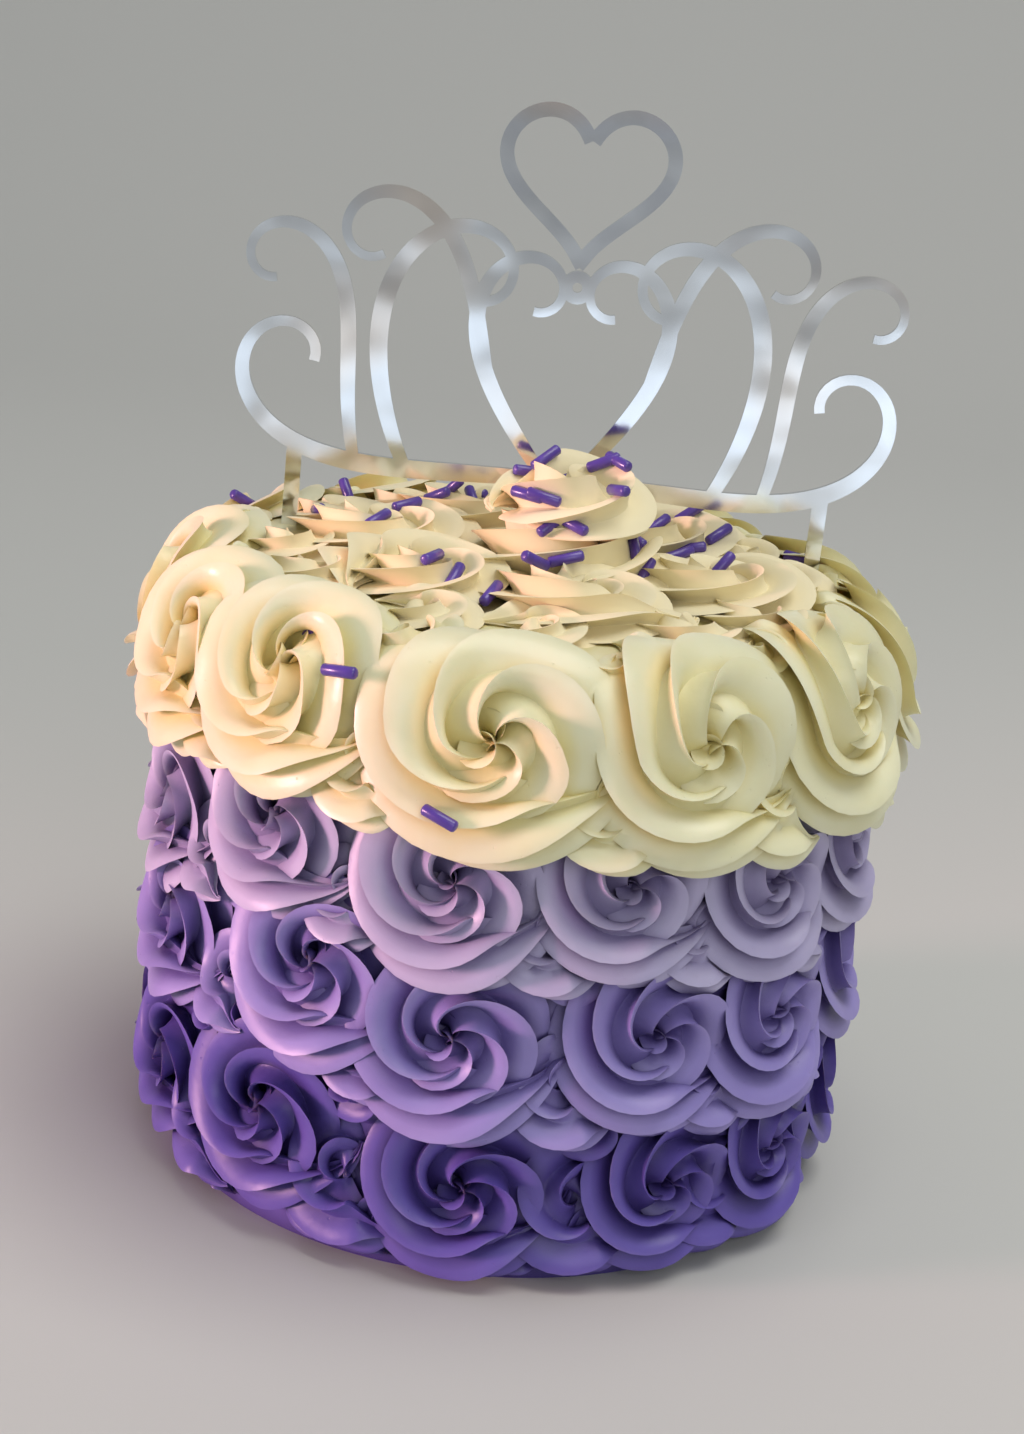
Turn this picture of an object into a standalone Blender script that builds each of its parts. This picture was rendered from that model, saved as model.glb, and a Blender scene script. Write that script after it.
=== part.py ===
"""A six inch round cake, piped all over with buttercream rosettes in four shades, with a mirror topper.

The sponge is a plain solid. Each shade of icing is one solid: a thin skin round the sponge
with its row of rosettes fused to it. An upper row lies on the tops of the row below.
The cream row bends over the cake's shoulder, covers the top and carries the sprinkles.
Angles start at the front of the cake, which faces -Y, and grow to the right.
"""
import math
import random
from collections import namedtuple

import bmesh
import bpy
from mathutils import Vector
from mathutils.bvhtree import BVHTree

# Driving sizes in metres
SPONGE_RADIUS = 0.076
SPONGE_HEIGHT = 0.140
SKIN = 0.003
GAP = 0.0003
ROUND_SIDES = 24

# Icing skin, which each row of rosettes lies on
SIDE_BED_RADIUS = SPONGE_RADIUS + SKIN
RIM_BED_RADIUS = SIDE_BED_RADIUS + 0.005
TOP_BED_HEIGHT = SPONGE_HEIGHT + 2 * SKIN
SHOULDER_RADIUS = 0.016
SHOULDER_START = TOP_BED_HEIGHT - SHOULDER_RADIUS
SHOULDER_SIDES = 3

# One piped rosette: six ridges from a star nozzle, which wind inwards
RIDGES = 6
WINDING = math.radians(60)
ROOT_DEPTH = 0.004
# Each ring of its dome: share of the radius, share of the relief, share of the winding, ridge wave
ROOT_RING = (0.95, 0.02)
DOME_RINGS = (
    (1.00, 0.42, 0.00, 0.05),
    (0.74, 1.00, 0.38, 0.12),
    (0.36, 0.80, 0.80, 0.13),
)
MIDDLE_HEIGHT = 0.72

# The rows: rosettes that face the front are placed one by one, the others evenly behind them
Row = namedtuple("Row", "name count radius relief angles heights bottom top colour roughness")
INDIGO = Row("icing_indigo", 12, 0.0235, 0.0088, (-64, -36, -1, 32, 56),
             (0.030, 0.032, 0.025, 0.025, 0.026), 0.0, 0.045, (0.085, 0.045, 0.32), 0.42)
VIOLET = Row("icing_violet", 12, 0.0245, 0.0088, (-64, -28, -5, 27, 52),
             (0.067, 0.071, 0.061, 0.063, 0.062), 0.045 + GAP, 0.080, (0.19, 0.13, 0.49), 0.42)
LAVENDER = Row("icing_lavender", 13, 0.0235, 0.0085, (-69, -37, -7, 20, 47),
               (0.093, 0.102, 0.097, 0.099, 0.096), 0.080 + GAP, 0.113, (0.39, 0.31, 0.56), 0.42)
CREAM = Row("icing_cream", 12, 0.0265, 0.0092, (-60, -36, -4, 28, 59),
            (0.134, 0.136, 0.131, 0.134, 0.135), 0.113 + GAP, TOP_BED_HEIGHT, (0.86, 0.77, 0.50), 0.38)
FLOOR_SHARE = 1.03
UNEVEN_SIZE = 0.035
UNEVEN_HEIGHT = 0.0012
UNEVEN_STEP = 3.7
PHASE_STEP = 2.4
RIDGE_REACH = 0.35
CUTTER_REACH = 0.012
CUTTER_CLEARANCE = 0.0008
KEPT_FACETS = 0.68

# Rosettes on the top: angle and distance from the middle
TOP_ROSETTES = ((20, 0.036), (77, 0.043), (137, 0.044), (-160, 0.043), (-104, 0.041), (-43, 0.037))
TOP_RADIUS = 0.0235
TOP_RELIEF = 0.0090
# The high swirl piled in the middle of the top
MOUND_AT = (0.008, -0.001)
MOUND_RADIUS = 0.0185
MOUND_HEIGHT = 0.0145
MOUND_RELIEF = 0.0105
MOUND_FOOT_RADIUS = 0.0260
MOUND_FOOT_RELIEF = 0.0130

# Sprinkles, which lie on the cream
SPRINKLE_COUNT = 44
SPRINKLE_LENGTH = 0.0085
SPRINKLE_RADIUS = 0.00105
SPRINKLE_SIDES = 5
SPRINKLE_SEED = 11
SPRINKLE_SPREAD = 0.062
SPRINKLE_SINK = 0.0004
SPRINKLE_CROWDING = 0.75

# The topper: an upright mirror plate of scrolls under a heart, on two stakes
PLATE_X = 0.003
PLATE_Y = 0.021
PLATE = 0.0015
STAKE_REACH = 0.065
STAKE_X = (PLATE_X - STAKE_REACH, PLATE_X + STAKE_REACH)
STAKE_FOOT = 0.112
STAKE_TOP = 0.1680
STAKE_WIDTH = 0.0038
# Each scroll, drawn on both sides of the middle: where it starts, the way it heads,
# its length, how it bends at its start and end, how late the bend comes, and its width
Scroll = namedtuple("Scroll", "reach height heading length first_bend last_bend lateness width")
SCROLLS = (
    Scroll(0.000, 0.164, 0, 0.120, -2, 160, 2.8, 0.0046),
    Scroll(0.003, 0.164, 50, 0.088, 4, 205, 2.4, 0.0040),
    Scroll(0.019, 0.186, 76, 0.084, 0, -190, 2.2, 0.0038),
    Scroll(0.038, 0.164, 62, 0.098, 12, 150, 2.6, 0.0044),
    Scroll(0.050, 0.163, 74, 0.088, 12, -205, 2.4, 0.0038),
)
SCROLL_STEPS = 12
FINE_STEPS = 240
STEP_CROWDING = 0.6
THIN_SHARE = 0.55
THICK_LEAD = 0.12
HEART_HEIGHT = 0.2375
HEART_SIZE = 0.020
HEART_STROKE = 0.0034
HEART_STEPS = 18
HEART_WAVES = (13 / 16, -5 / 16, -2 / 16, -1 / 16)
BEAD_HEIGHT = 0.2115
BEAD_RADIUS = 0.0040
BEAD_SIDES = 10

SHARP_FOLD = math.radians(35)
SILVER = (0.80, 0.82, 0.86)
SPONGE_COLOUR = (0.060, 0.028, 0.016)


def clear_scene():
    """Remove every object, so that the model is all there is."""
    for old in list(bpy.data.objects):
        bpy.data.objects.remove(old, do_unlink=True)


def material(name, colour, roughness, metallic=0.0):
    """A plain Principled finish."""
    finish = bpy.data.materials.new(name)
    finish.use_nodes = True
    shader = finish.node_tree.nodes["Principled BSDF"]
    shader.inputs["Base Color"].default_value = (*colour, 1.0)
    shader.inputs["Roughness"].default_value = roughness
    shader.inputs["Metallic"].default_value = metallic
    return finish


def solid(name, points, faces, finish=None, collection=None):
    """An object from points and faces, with its faces turned outwards."""
    mesh = bpy.data.meshes.new(name)
    shape = bmesh.new()
    corners = [shape.verts.new(point) for point in points]
    for face in faces:
        shape.faces.new([corners[index] for index in face])
    bmesh.ops.recalc_face_normals(shape, faces=shape.faces)
    bmesh.ops.triangulate(shape, faces=shape.faces)
    shape.to_mesh(mesh)
    shape.free()
    thing = bpy.data.objects.new(name, mesh)
    if finish is not None:
        mesh.materials.append(finish)
    (collection or bpy.context.scene.collection).objects.link(thing)
    return thing


def ring_faces(rings, sides):
    """Quads between rings of points that follow each other in one list."""
    faces = []
    for ring in range(rings - 1):
        for side in range(sides):
            here = ring * sides + side
            beside = ring * sides + (side + 1) % sides
            faces.append((here, beside, beside + sides, here + sides))
    return faces


def around(angle, radius, height):
    """A point at an angle from the front, a distance from the cake's axis, and a height."""
    return Vector((radius * math.sin(angle), -radius * math.cos(angle), height))


def turned(name, profile, finish=None, collection=None):
    """A solid turned round the cake's axis from a profile that starts and ends on the axis."""
    points = [Vector((0, 0, profile[0][1]))]
    for radius, height in profile[1:-1]:
        points += [around(math.tau * side / ROUND_SIDES, radius, height) for side in range(ROUND_SIDES)]
    points.append(Vector((0, 0, profile[-1][1])))
    rings = len(profile) - 2
    faces = [[corner + 1 for corner in face] for face in ring_faces(rings, ROUND_SIDES)]
    last = len(points) - 1
    for side in range(ROUND_SIDES):
        beside = (side + 1) % ROUND_SIDES
        faces.append((0, 1 + side, 1 + beside))
        faces.append((last, last - ROUND_SIDES + side, last - ROUND_SIDES + beside))
    return solid(name, points, faces, finish, collection)


def shoulder(out=0.0):
    """Profile of the cream bed's rounded shoulder, from the side to the flat top."""
    profile = []
    for step in range(SHOULDER_SIDES + 1):
        turn = 0.5 * math.pi * step / SHOULDER_SIDES
        reach = SHOULDER_RADIUS + out
        profile.append((RIM_BED_RADIUS - SHOULDER_RADIUS + reach * math.cos(turn),
                        SHOULDER_START + reach * math.sin(turn)))
    return profile


def skin_profile(row, grow=0.0):
    """Profile of a row's skin with the sponge's room filled, grown by a clearance."""
    if row is CREAM:
        flare = (RIM_BED_RADIUS + grow, row.bottom + RIM_BED_RADIUS - SIDE_BED_RADIUS)
        start = (SIDE_BED_RADIUS + grow, row.bottom - grow)
        return [(0, start[1]), start, flare, *shoulder(grow), (0, TOP_BED_HEIGHT + grow)]
    outer = SIDE_BED_RADIUS + grow
    bottom = row.bottom - grow if row.bottom else row.bottom
    return [(0, bottom), (outer, bottom), (outer, row.top + grow), (0, row.top + grow)]


def side_place(angle, height, bed_radius):
    """How a rosette lies on the side: across goes round the cake, along goes up over the shoulder."""
    def place(across, along, out):
        climb = height + along
        lean = min(max((climb - SHOULDER_START) / SHOULDER_RADIUS, 0.0), 0.5 * math.pi)
        flat = max(climb - SHOULDER_START - 0.5 * math.pi * SHOULDER_RADIUS, 0.0)
        upright = min(climb, SHOULDER_START)
        bed = bed_radius - SHOULDER_RADIUS * (1 - math.cos(lean)) - flat
        radius = bed + out * math.cos(lean)
        level = upright + (SHOULDER_RADIUS + out) * math.sin(lean)
        return around(angle + across / bed, radius, level)
    return place


def top_place(x, y, level):
    """How a rosette lies flat on the top."""
    def place(across, along, out):
        return Vector((x + across, y + along, level + out))
    return place


def rosette(name, place, radius, relief, phase, root, collection):
    """A piped rosette: a dome of ridges that wind inwards and anticlockwise to a hollow middle."""
    columns = 2 * RIDGES
    points = []
    rings = ((ROOT_RING[0], -root / relief, 0.0, ROOT_RING[1]), *DOME_RINGS)
    for reach, height, winding, wave in rings:
        for column in range(columns):
            ridge = 1 if column % 2 == 0 else -1
            turn = phase + math.tau * column / columns + WINDING * winding
            out = radius * (reach + RIDGE_REACH * wave * ridge)
            lift = relief * (height + wave * ridge * (height > 0))
            points.append(place(out * math.cos(turn), out * math.sin(turn), lift))
    faces = ring_faces(len(rings), columns)
    back = len(points)
    points.append(place(0, 0, -root))
    points.append(place(0, 0, relief * MIDDLE_HEIGHT))
    last_ring = (len(rings) - 1) * columns
    for column in range(columns):
        beside = (column + 1) % columns
        faces.append((back, column, beside))
        faces.append((back + 1, last_ring + column, last_ring + beside))
    return solid(name, points, faces, None, collection)


def rosette_cutter(name, place, radius, relief, phase, root, collection):
    """The room that a rosette takes out of the row below, right through it, with a gap all round."""
    columns = 2 * RIDGES
    wave = DOME_RINGS[0][3]
    points = []
    levels = (-root - CUTTER_CLEARANCE, relief + CUTTER_REACH)
    for level in levels:
        for column in range(columns):
            ridge = 1 if column % 2 == 0 else -1
            turn = phase + math.tau * column / columns
            out = radius * (1 + RIDGE_REACH * wave * ridge) + CUTTER_CLEARANCE
            points.append(place(out * math.cos(turn), out * math.sin(turn), level))
    faces = ring_faces(len(levels), columns)
    middle = len(points)
    points += [place(0, 0, level) for level in levels]
    for column in range(columns):
        beside = (column + 1) % columns
        faces.append((middle, column, beside))
        faces.append((middle + 1, columns + column, columns + beside))
    return solid(name, points, faces, None, collection)


def row_spots(row):
    """Where each rosette of a row lies: its place on the side, its radius and its phase."""
    bed_radius = RIM_BED_RADIUS if row is CREAM else SIDE_BED_RADIUS
    first, last = row.angles[0], row.angles[-1]
    hidden = row.count - len(row.angles)
    step = (360 - (last - first)) / (hidden + 1)
    mean = sum(row.heights) / len(row.heights)
    spots = []
    for index in range(row.count):
        uneven = math.sin(UNEVEN_STEP * index + row.count)
        if index < len(row.angles):
            angle, height = row.angles[index], row.heights[index]
        else:
            angle = last + step * (index - len(row.angles) + 1)
            height = mean + UNEVEN_HEIGHT * uneven
        radius = row.radius * (1 + UNEVEN_SIZE * uneven)
        height = max(height, radius * FLOOR_SHARE + GAP)
        place = side_place(math.radians(angle), height, bed_radius)
        spots.append((place, radius, row.relief, PHASE_STEP * index))
    return spots


def top_spots():
    """Where each rosette of the top lies, the high one in the middle last."""
    spots = []
    for index, (angle, distance) in enumerate(TOP_ROSETTES):
        centre = around(math.radians(angle), distance, TOP_BED_HEIGHT)
        radius = TOP_RADIUS * (1 + UNEVEN_SIZE * math.sin(UNEVEN_STEP * index))
        spots.append((top_place(centre.x, centre.y, centre.z), radius, TOP_RELIEF, PHASE_STEP * index))
    return spots


def boolean(target, operand, operation):
    """Join a collection or one object to a target, or cut it out, and keep the result as its mesh."""
    modifier = target.modifiers.new("shape", "BOOLEAN")
    modifier.operation = operation
    modifier.solver = "MANIFOLD"
    if isinstance(operand, bpy.types.Collection):
        modifier.operand_type = "COLLECTION"
        modifier.collection = operand
    else:
        modifier.object = operand
    bpy.context.view_layer.update()
    result = bpy.data.meshes.new_from_object(target.evaluated_get(bpy.context.evaluated_depsgraph_get()))
    target.modifiers.clear()
    target.data = result


def thin_out(thing, share):
    """Merge the small facets that a join leaves, down to a share of their number."""
    modifier = thing.modifiers.new("thin", "DECIMATE")
    modifier.ratio = share
    bpy.context.view_layer.update()
    result = bpy.data.meshes.new_from_object(thing.evaluated_get(bpy.context.evaluated_depsgraph_get()))
    thing.modifiers.clear()
    thing.data = result


def discard(collection):
    """Remove a collection and the objects in it."""
    for used in list(collection.objects):
        bpy.data.objects.remove(used, do_unlink=True)
    bpy.data.collections.remove(collection)


def new_collection(name):
    """An empty collection in the scene."""
    collection = bpy.data.collections.new(name)
    bpy.context.scene.collection.children.link(collection)
    return collection


def keep_largest(thing):
    """Drop every loose scrap and fill every sealed hollow, which are all smaller than the main shell."""
    shape = bmesh.new()
    shape.from_mesh(thing.data)
    bmesh.ops.triangulate(shape, faces=shape.faces)
    unseen = set(shape.verts)
    shells = []
    while unseen:
        front = [unseen.pop()]
        shell = set(front)
        while front:
            corner = front.pop()
            for edge in corner.link_edges:
                other = edge.other_vert(corner)
                if other in unseen:
                    unseen.discard(other)
                    shell.add(other)
                    front.append(other)
        shells.append(shell)
    shells.sort(key=len)
    for shell in shells[:-1]:
        bmesh.ops.delete(shape, geom=list(shell), context="VERTS")
    shape.to_mesh(thing.data)
    shape.free()


def smooth(thing, finish):
    """Give a solid its finish and smooth shading with sharp folds."""
    thing.data.materials.clear()
    thing.data.materials.append(finish)
    thing.data.shade_smooth()
    thing.data.set_sharp_from_angle(angle=SHARP_FOLD)


def sponge_room(collection):
    """The sponge grown by the gap, cut out of every shade of icing."""
    outer = SPONGE_RADIUS + GAP
    profile = [(0, -SKIN), (outer, -SKIN), (outer, SPONGE_HEIGHT + GAP), (0, SPONGE_HEIGHT + GAP)]
    return turned("sponge_room", profile, None, collection)


def icing_row(row, upper=None):
    """One shade of icing: its skin and rosettes joined, cut round the sponge and under the row above."""
    finish = material(row.name, row.colour, row.roughness)
    body = turned(row.name, skin_profile(row), finish)
    piped = new_collection("piped")
    spots = row_spots(row)
    for index, (place, radius, relief, phase) in enumerate(spots):
        rosette(f"rosette_{index}", place, radius, relief, phase, ROOT_DEPTH, piped)
    if row is CREAM:
        for index, (place, radius, relief, phase) in enumerate(top_spots()):
            rosette(f"top_{index}", place, radius, relief, phase, SKIN, piped)
        rosette("mound_foot", top_place(*MOUND_AT, TOP_BED_HEIGHT), MOUND_FOOT_RADIUS,
                MOUND_FOOT_RELIEF, 0.0, SKIN, piped)
        rosette("mound", top_place(*MOUND_AT, TOP_BED_HEIGHT + MOUND_HEIGHT), MOUND_RADIUS,
                MOUND_RELIEF, 1.0, MOUND_HEIGHT - SKIN, piped)
    boolean(body, piped, "UNION")
    discard(piped)
    keep_largest(body)
    thin_out(body, KEPT_FACETS)
    if row is CREAM:
        add_sprinkles(body)
        keep_largest(body)
    taken = new_collection("taken")
    sponge_room(taken)
    if upper is not None:
        turned("upper_skin", skin_profile(upper, GAP), None, taken)
        for index, (place, radius, relief, phase) in enumerate(row_spots(upper)):
            rosette_cutter(f"room_{index}", place, radius, relief, phase, ROOT_DEPTH, taken)
    if row is CREAM:
        stake_rooms(taken)
    boolean(body, taken, "DIFFERENCE")
    discard(taken)
    keep_largest(body)
    smooth(body, finish)
    return body


def capsule(name, start, end, radius, sides, collection):
    """A short rod with pointed round ends."""
    axis = (end - start).normalized()
    across = axis.cross(Vector((0, 0, 1))).normalized()
    upward = across.cross(axis)
    points = [start - axis * radius]
    for centre in (start, end):
        for side in range(sides):
            turn = math.tau * side / sides
            points.append(centre + (across * math.cos(turn) + upward * math.sin(turn)) * radius)
    points.append(end + axis * radius)
    faces = [[corner + 1 for corner in face] for face in ring_faces(2, sides)]
    last = len(points) - 1
    for side in range(sides):
        beside = (side + 1) % sides
        faces.append((0, 1 + side, 1 + beside))
        faces.append((last, last - sides + side, last - sides + beside))
    return solid(name, points, faces, None, collection)


def add_sprinkles(body):
    """Lay sprinkles on the cream, closest together near the middle, and join them to it."""
    surface = BVHTree.FromPolygons([corner.co.copy() for corner in body.data.vertices],
                                   [tuple(face.vertices) for face in body.data.polygons])
    draw = random.Random(SPRINKLE_SEED)
    scattered = new_collection("scattered")
    down = Vector((0, 0, -1))
    half = 0.5 * SPRINKLE_LENGTH - SPRINKLE_RADIUS
    laid = 0
    while laid < SPRINKLE_COUNT:
        distance = SPRINKLE_SPREAD * draw.random() ** SPRINKLE_CROWDING
        spot = around(math.tau * draw.random(), distance, 0)
        turn = math.tau * draw.random()
        along = Vector((math.cos(turn), math.sin(turn), 0)) * half
        if abs(spot.y - PLATE_Y) < SPRINKLE_LENGTH and near_a_stake(spot.x):
            continue
        ends = []
        for end in (spot - along, spot + along):
            hit = surface.ray_cast(Vector((end.x, end.y, 1)), down)[0]
            ends.append(hit + Vector((0, 0, SPRINKLE_RADIUS - SPRINKLE_SINK)))
        capsule(f"sprinkle_{laid}", ends[0], ends[1], SPRINKLE_RADIUS, SPRINKLE_SIDES, scattered)
        laid += 1
    boolean(body, scattered, "UNION")
    discard(scattered)


def near_a_stake(x):
    """Whether a sprinkle there would touch a stake of the topper."""
    return min(abs(x - stake) for stake in STAKE_X) < SPRINKLE_LENGTH


def stake_rooms(collection):
    """The two slots that the topper's stakes stand in."""
    half_width = 0.5 * STAKE_WIDTH + GAP
    half_plate = 0.5 * PLATE + GAP
    low, high = STAKE_FOOT - GAP, TOP_BED_HEIGHT + 2 * CUTTER_REACH
    for index, x in enumerate(STAKE_X):
        corners = [Vector((x + side * half_width, PLATE_Y + front * half_plate, level))
                   for level in (low, high) for side, front in ((-1, -1), (1, -1), (1, 1), (-1, 1))]
        faces = ring_faces(2, 4) + [(0, 1, 2, 3), (4, 5, 6, 7)]
        solid(f"stake_room_{index}", corners, faces, None, collection)


def sponge():
    """The sponge under the icing, with the slots for the topper's stakes."""
    finish = material("sponge", SPONGE_COLOUR, 0.9)
    profile = [(0, 0), (SPONGE_RADIUS, 0), (SPONGE_RADIUS, SPONGE_HEIGHT), (0, SPONGE_HEIGHT)]
    body = turned("sponge", profile, finish)
    taken = new_collection("slots")
    stake_rooms(taken)
    boolean(body, taken, "DIFFERENCE")
    discard(taken)
    keep_largest(body)
    smooth(body, finish)


def ribbon(name, line, widths, collection):
    """A flat stroke of the topper: a line in its plane, given a width at each point and the plate's depth."""
    points = []
    for index, here in enumerate(line):
        before = line[max(index - 1, 0)]
        after = line[min(index + 1, len(line) - 1)]
        run_x, run_z = after[0] - before[0], after[1] - before[1]
        length = math.hypot(run_x, run_z)
        side_x, side_z = -run_z / length, run_x / length
        half = 0.5 * widths[index]
        for side, front in ((-1, -1), (1, -1), (1, 1), (-1, 1)):
            points.append(Vector((here[0] + side * half * side_x, PLATE_Y + 0.5 * front * PLATE,
                                  here[1] + side * half * side_z)))
    faces = ring_faces(len(line), 4)
    last = len(points)
    faces += [(0, 1, 2, 3), (last - 4, last - 3, last - 2, last - 1)]
    return solid(name, points, faces, None, collection)


def band(name, inner, outer, collection):
    """A closed stroke of the topper between an inner and an outer outline."""
    points = []
    for inside, outside in zip(inner, outer):
        for at, front in ((outside, -1), (inside, -1), (inside, 1), (outside, 1)):
            points.append(Vector((at[0], PLATE_Y + 0.5 * front * PLATE, at[1])))
    faces = ring_faces(len(inner), 4)
    last = 4 * (len(inner) - 1)
    faces += [(last + side, last + (side + 1) % 4, (side + 1) % 4, side) for side in range(4)]
    return solid(name, points, faces, None, collection)


def scroll_line(scroll, side):
    """A scroll's middle line, whose bend grows along it, with its points closest near the volute."""
    x, z, heading = scroll.reach, scroll.height, math.radians(scroll.heading)
    step = scroll.length / FINE_STEPS
    fine = [(x, z)]
    for index in range(FINE_STEPS):
        share = (index + 0.5) / FINE_STEPS
        bend = scroll.first_bend + (scroll.last_bend - scroll.first_bend) * share ** scroll.lateness
        heading += bend * step
        x += step * math.cos(heading)
        z += step * math.sin(heading)
        fine.append((x, z))
    shares = [(index / SCROLL_STEPS) ** STEP_CROWDING for index in range(SCROLL_STEPS + 1)]
    picked = [fine[round(share * FINE_STEPS)] for share in shares]
    line = [(PLATE_X + side * reach, height) for reach, height in picked]
    widths = [scroll.width * (THIN_SHARE + (1 - THIN_SHARE) * math.sin(math.pi * min(share + THICK_LEAD, 1)))
              for share in shares]
    return line, widths


def heart_outline(grow):
    """A heart shape about the plate's middle, offset outwards by a distance."""
    line = []
    for index in range(HEART_STEPS):
        turn = math.tau * index / HEART_STEPS
        rise = sum(share * math.cos(turns * turn) for turns, share in enumerate(HEART_WAVES, 1))
        line.append((PLATE_X + HEART_SIZE * math.sin(turn) ** 3, HEART_HEIGHT + HEART_SIZE * rise))
    outline = []
    for index, here in enumerate(line):
        before, after = line[index - 1], line[(index + 1) % HEART_STEPS]
        run_x, run_z = after[0] - before[0], after[1] - before[1]
        length = math.hypot(run_x, run_z)
        outline.append((here[0] - grow * run_z / length, here[1] + grow * run_x / length))
    return outline


def disc_outline(radius):
    """The bead's round outline."""
    return [(PLATE_X + radius * math.cos(math.tau * index / BEAD_SIDES),
             BEAD_HEIGHT + radius * math.sin(math.tau * index / BEAD_SIDES)) for index in range(BEAD_SIDES)]


def topper():
    """The mirror topper: scrolls on both sides, a heart and a bead over them, and two stakes."""
    finish = material("topper", SILVER, 0.05, 1.0)
    strokes = new_collection("strokes")
    heart = band("topper", heart_outline(-0.5 * HEART_STROKE), heart_outline(0.5 * HEART_STROKE),
                 bpy.context.scene.collection)
    band("bead", disc_outline(0.3 * BEAD_RADIUS), disc_outline(BEAD_RADIUS), strokes)
    for index, x in enumerate(STAKE_X):
        line = [(x, STAKE_FOOT), (x, STAKE_TOP)]
        ribbon(f"stake_{index}", line, [STAKE_WIDTH] * len(line), strokes)
    for side in (-1, 1):
        for index, scroll in enumerate(SCROLLS):
            line, widths = scroll_line(scroll, side)
            ribbon(f"scroll_{side}_{index}", line, widths, strokes)
    boolean(heart, strokes, "UNION")
    discard(strokes)
    keep_largest(heart)
    smooth(heart, finish)


def main():
    """Build the cake from the sponge outwards."""
    clear_scene()
    sponge()
    icing_row(INDIGO, VIOLET)
    icing_row(VIOLET, LAVENDER)
    icing_row(LAVENDER, CREAM)
    icing_row(CREAM)
    topper()


main()
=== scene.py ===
"""Looks of a round cake piped with buttercream rosettes in four shades, with a mirror topper.

Every rosette is a rope of buttercream from a star nozzle, swept along a spiral on the cake's bed.
The ropes of one shade are joined to the skin round the sponge, and that piece replaces the CAD node.
Angles start at the front of the cake, which faces -Y, and grow to the right. Lengths are in metres.
"""
import logging
import math
import random
from dataclasses import dataclass, field, replace
from enum import Enum
from typing import Any, Callable, Sequence

import bmesh
import bpy
import numpy as np
from mathutils import Matrix, Vector
from mathutils.bvhtree import BVHTree


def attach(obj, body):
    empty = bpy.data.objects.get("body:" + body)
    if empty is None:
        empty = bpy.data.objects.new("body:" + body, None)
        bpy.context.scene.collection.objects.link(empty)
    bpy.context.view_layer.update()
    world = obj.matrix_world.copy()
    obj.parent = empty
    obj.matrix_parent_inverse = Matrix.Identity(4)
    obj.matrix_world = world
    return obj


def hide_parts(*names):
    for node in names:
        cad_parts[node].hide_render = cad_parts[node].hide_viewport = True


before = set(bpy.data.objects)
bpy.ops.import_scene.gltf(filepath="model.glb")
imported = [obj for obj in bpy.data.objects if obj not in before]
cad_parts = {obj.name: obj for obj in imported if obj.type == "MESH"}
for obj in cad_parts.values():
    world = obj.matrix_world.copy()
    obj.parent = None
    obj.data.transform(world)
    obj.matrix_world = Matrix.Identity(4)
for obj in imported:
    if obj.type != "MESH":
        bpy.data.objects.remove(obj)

LOG = logging.getLogger("cake")
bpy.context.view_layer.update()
ROOT = "root"
MOST_TRIANGLES = 185000
FOLD = 42.0

Array = np.ndarray
Thing = bpy.types.Object
Triple = tuple[float, float, float]
Placer = Callable[[Array, Array, Array], Array]


# Mesh tools

def smooth(values: Array | float, low: float, high: float) -> Array:
    """Smoothstep: 0 below low, 1 above high, and 3x² - 2x³ between them."""
    share = np.clip((np.asarray(values, dtype=float) - low) / (high - low), 0.0, 1.0)
    return share * share * (3.0 - 2.0 * share)


def around(angle: Array | float, radius: Array | float, height: Array | float) -> Array:
    """Points at an angle from the front, a distance from the cake's axis, and a height."""
    return np.stack(np.broadcast_arrays(radius * np.sin(angle), -radius * np.cos(angle), height), axis=-1)


def linked(name: str, data: bpy.types.ID) -> Thing:
    """A new object in the scene, which carries some data."""
    thing = bpy.data.objects.new(name, data)
    bpy.context.scene.collection.objects.link(thing)
    return thing


def mesh_object(name: str, points: Array, faces: Array | Sequence[Sequence[int]]) -> Thing:
    """A linked object from points and faces of one size.

    Args:
        name: The object's name.
        points: One row of x, y, z for each corner.
        faces: One row of corner numbers for each face.

    Returns:
        The object, which sits at the origin.
    """
    mesh = bpy.data.meshes.new(name)
    corners = np.asarray(points, dtype=float).reshape(-1, 3)
    mesh.from_pydata(corners.tolist(), [], [list(face) for face in faces])
    mesh.update()
    return linked(name, mesh)


def tube_faces(rings: int, sides: int) -> list[list[int]]:
    """Quads of a closed tube whose rings follow each other, with a many-sided cap at each end."""
    ring, side = np.meshgrid(np.arange(rings - 1), np.arange(sides), indexing="ij")
    here = ring * sides + side
    beside = ring * sides + (side + 1) % sides
    quads = np.stack([here, beside, beside + sides, here + sides], axis=-1).reshape(-1, 4)
    caps = [list(range(sides))[::-1], list(range((rings - 1) * sides, rings * sides))]
    return quads.tolist() + caps


def keep_modified(thing: Thing) -> None:
    """Put what an object's modifiers give into its own mesh, and remove them."""
    bpy.context.view_layer.update()
    made = bpy.data.meshes.new_from_object(thing.evaluated_get(bpy.context.evaluated_depsgraph_get()))
    thing.modifiers.clear()
    thing.data = made
    made.name = thing.name


def triangles(thing: Thing) -> int:
    """How many triangles a mesh comes to."""
    return sum(len(face.vertices) - 2 for face in thing.data.polygons)


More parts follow.
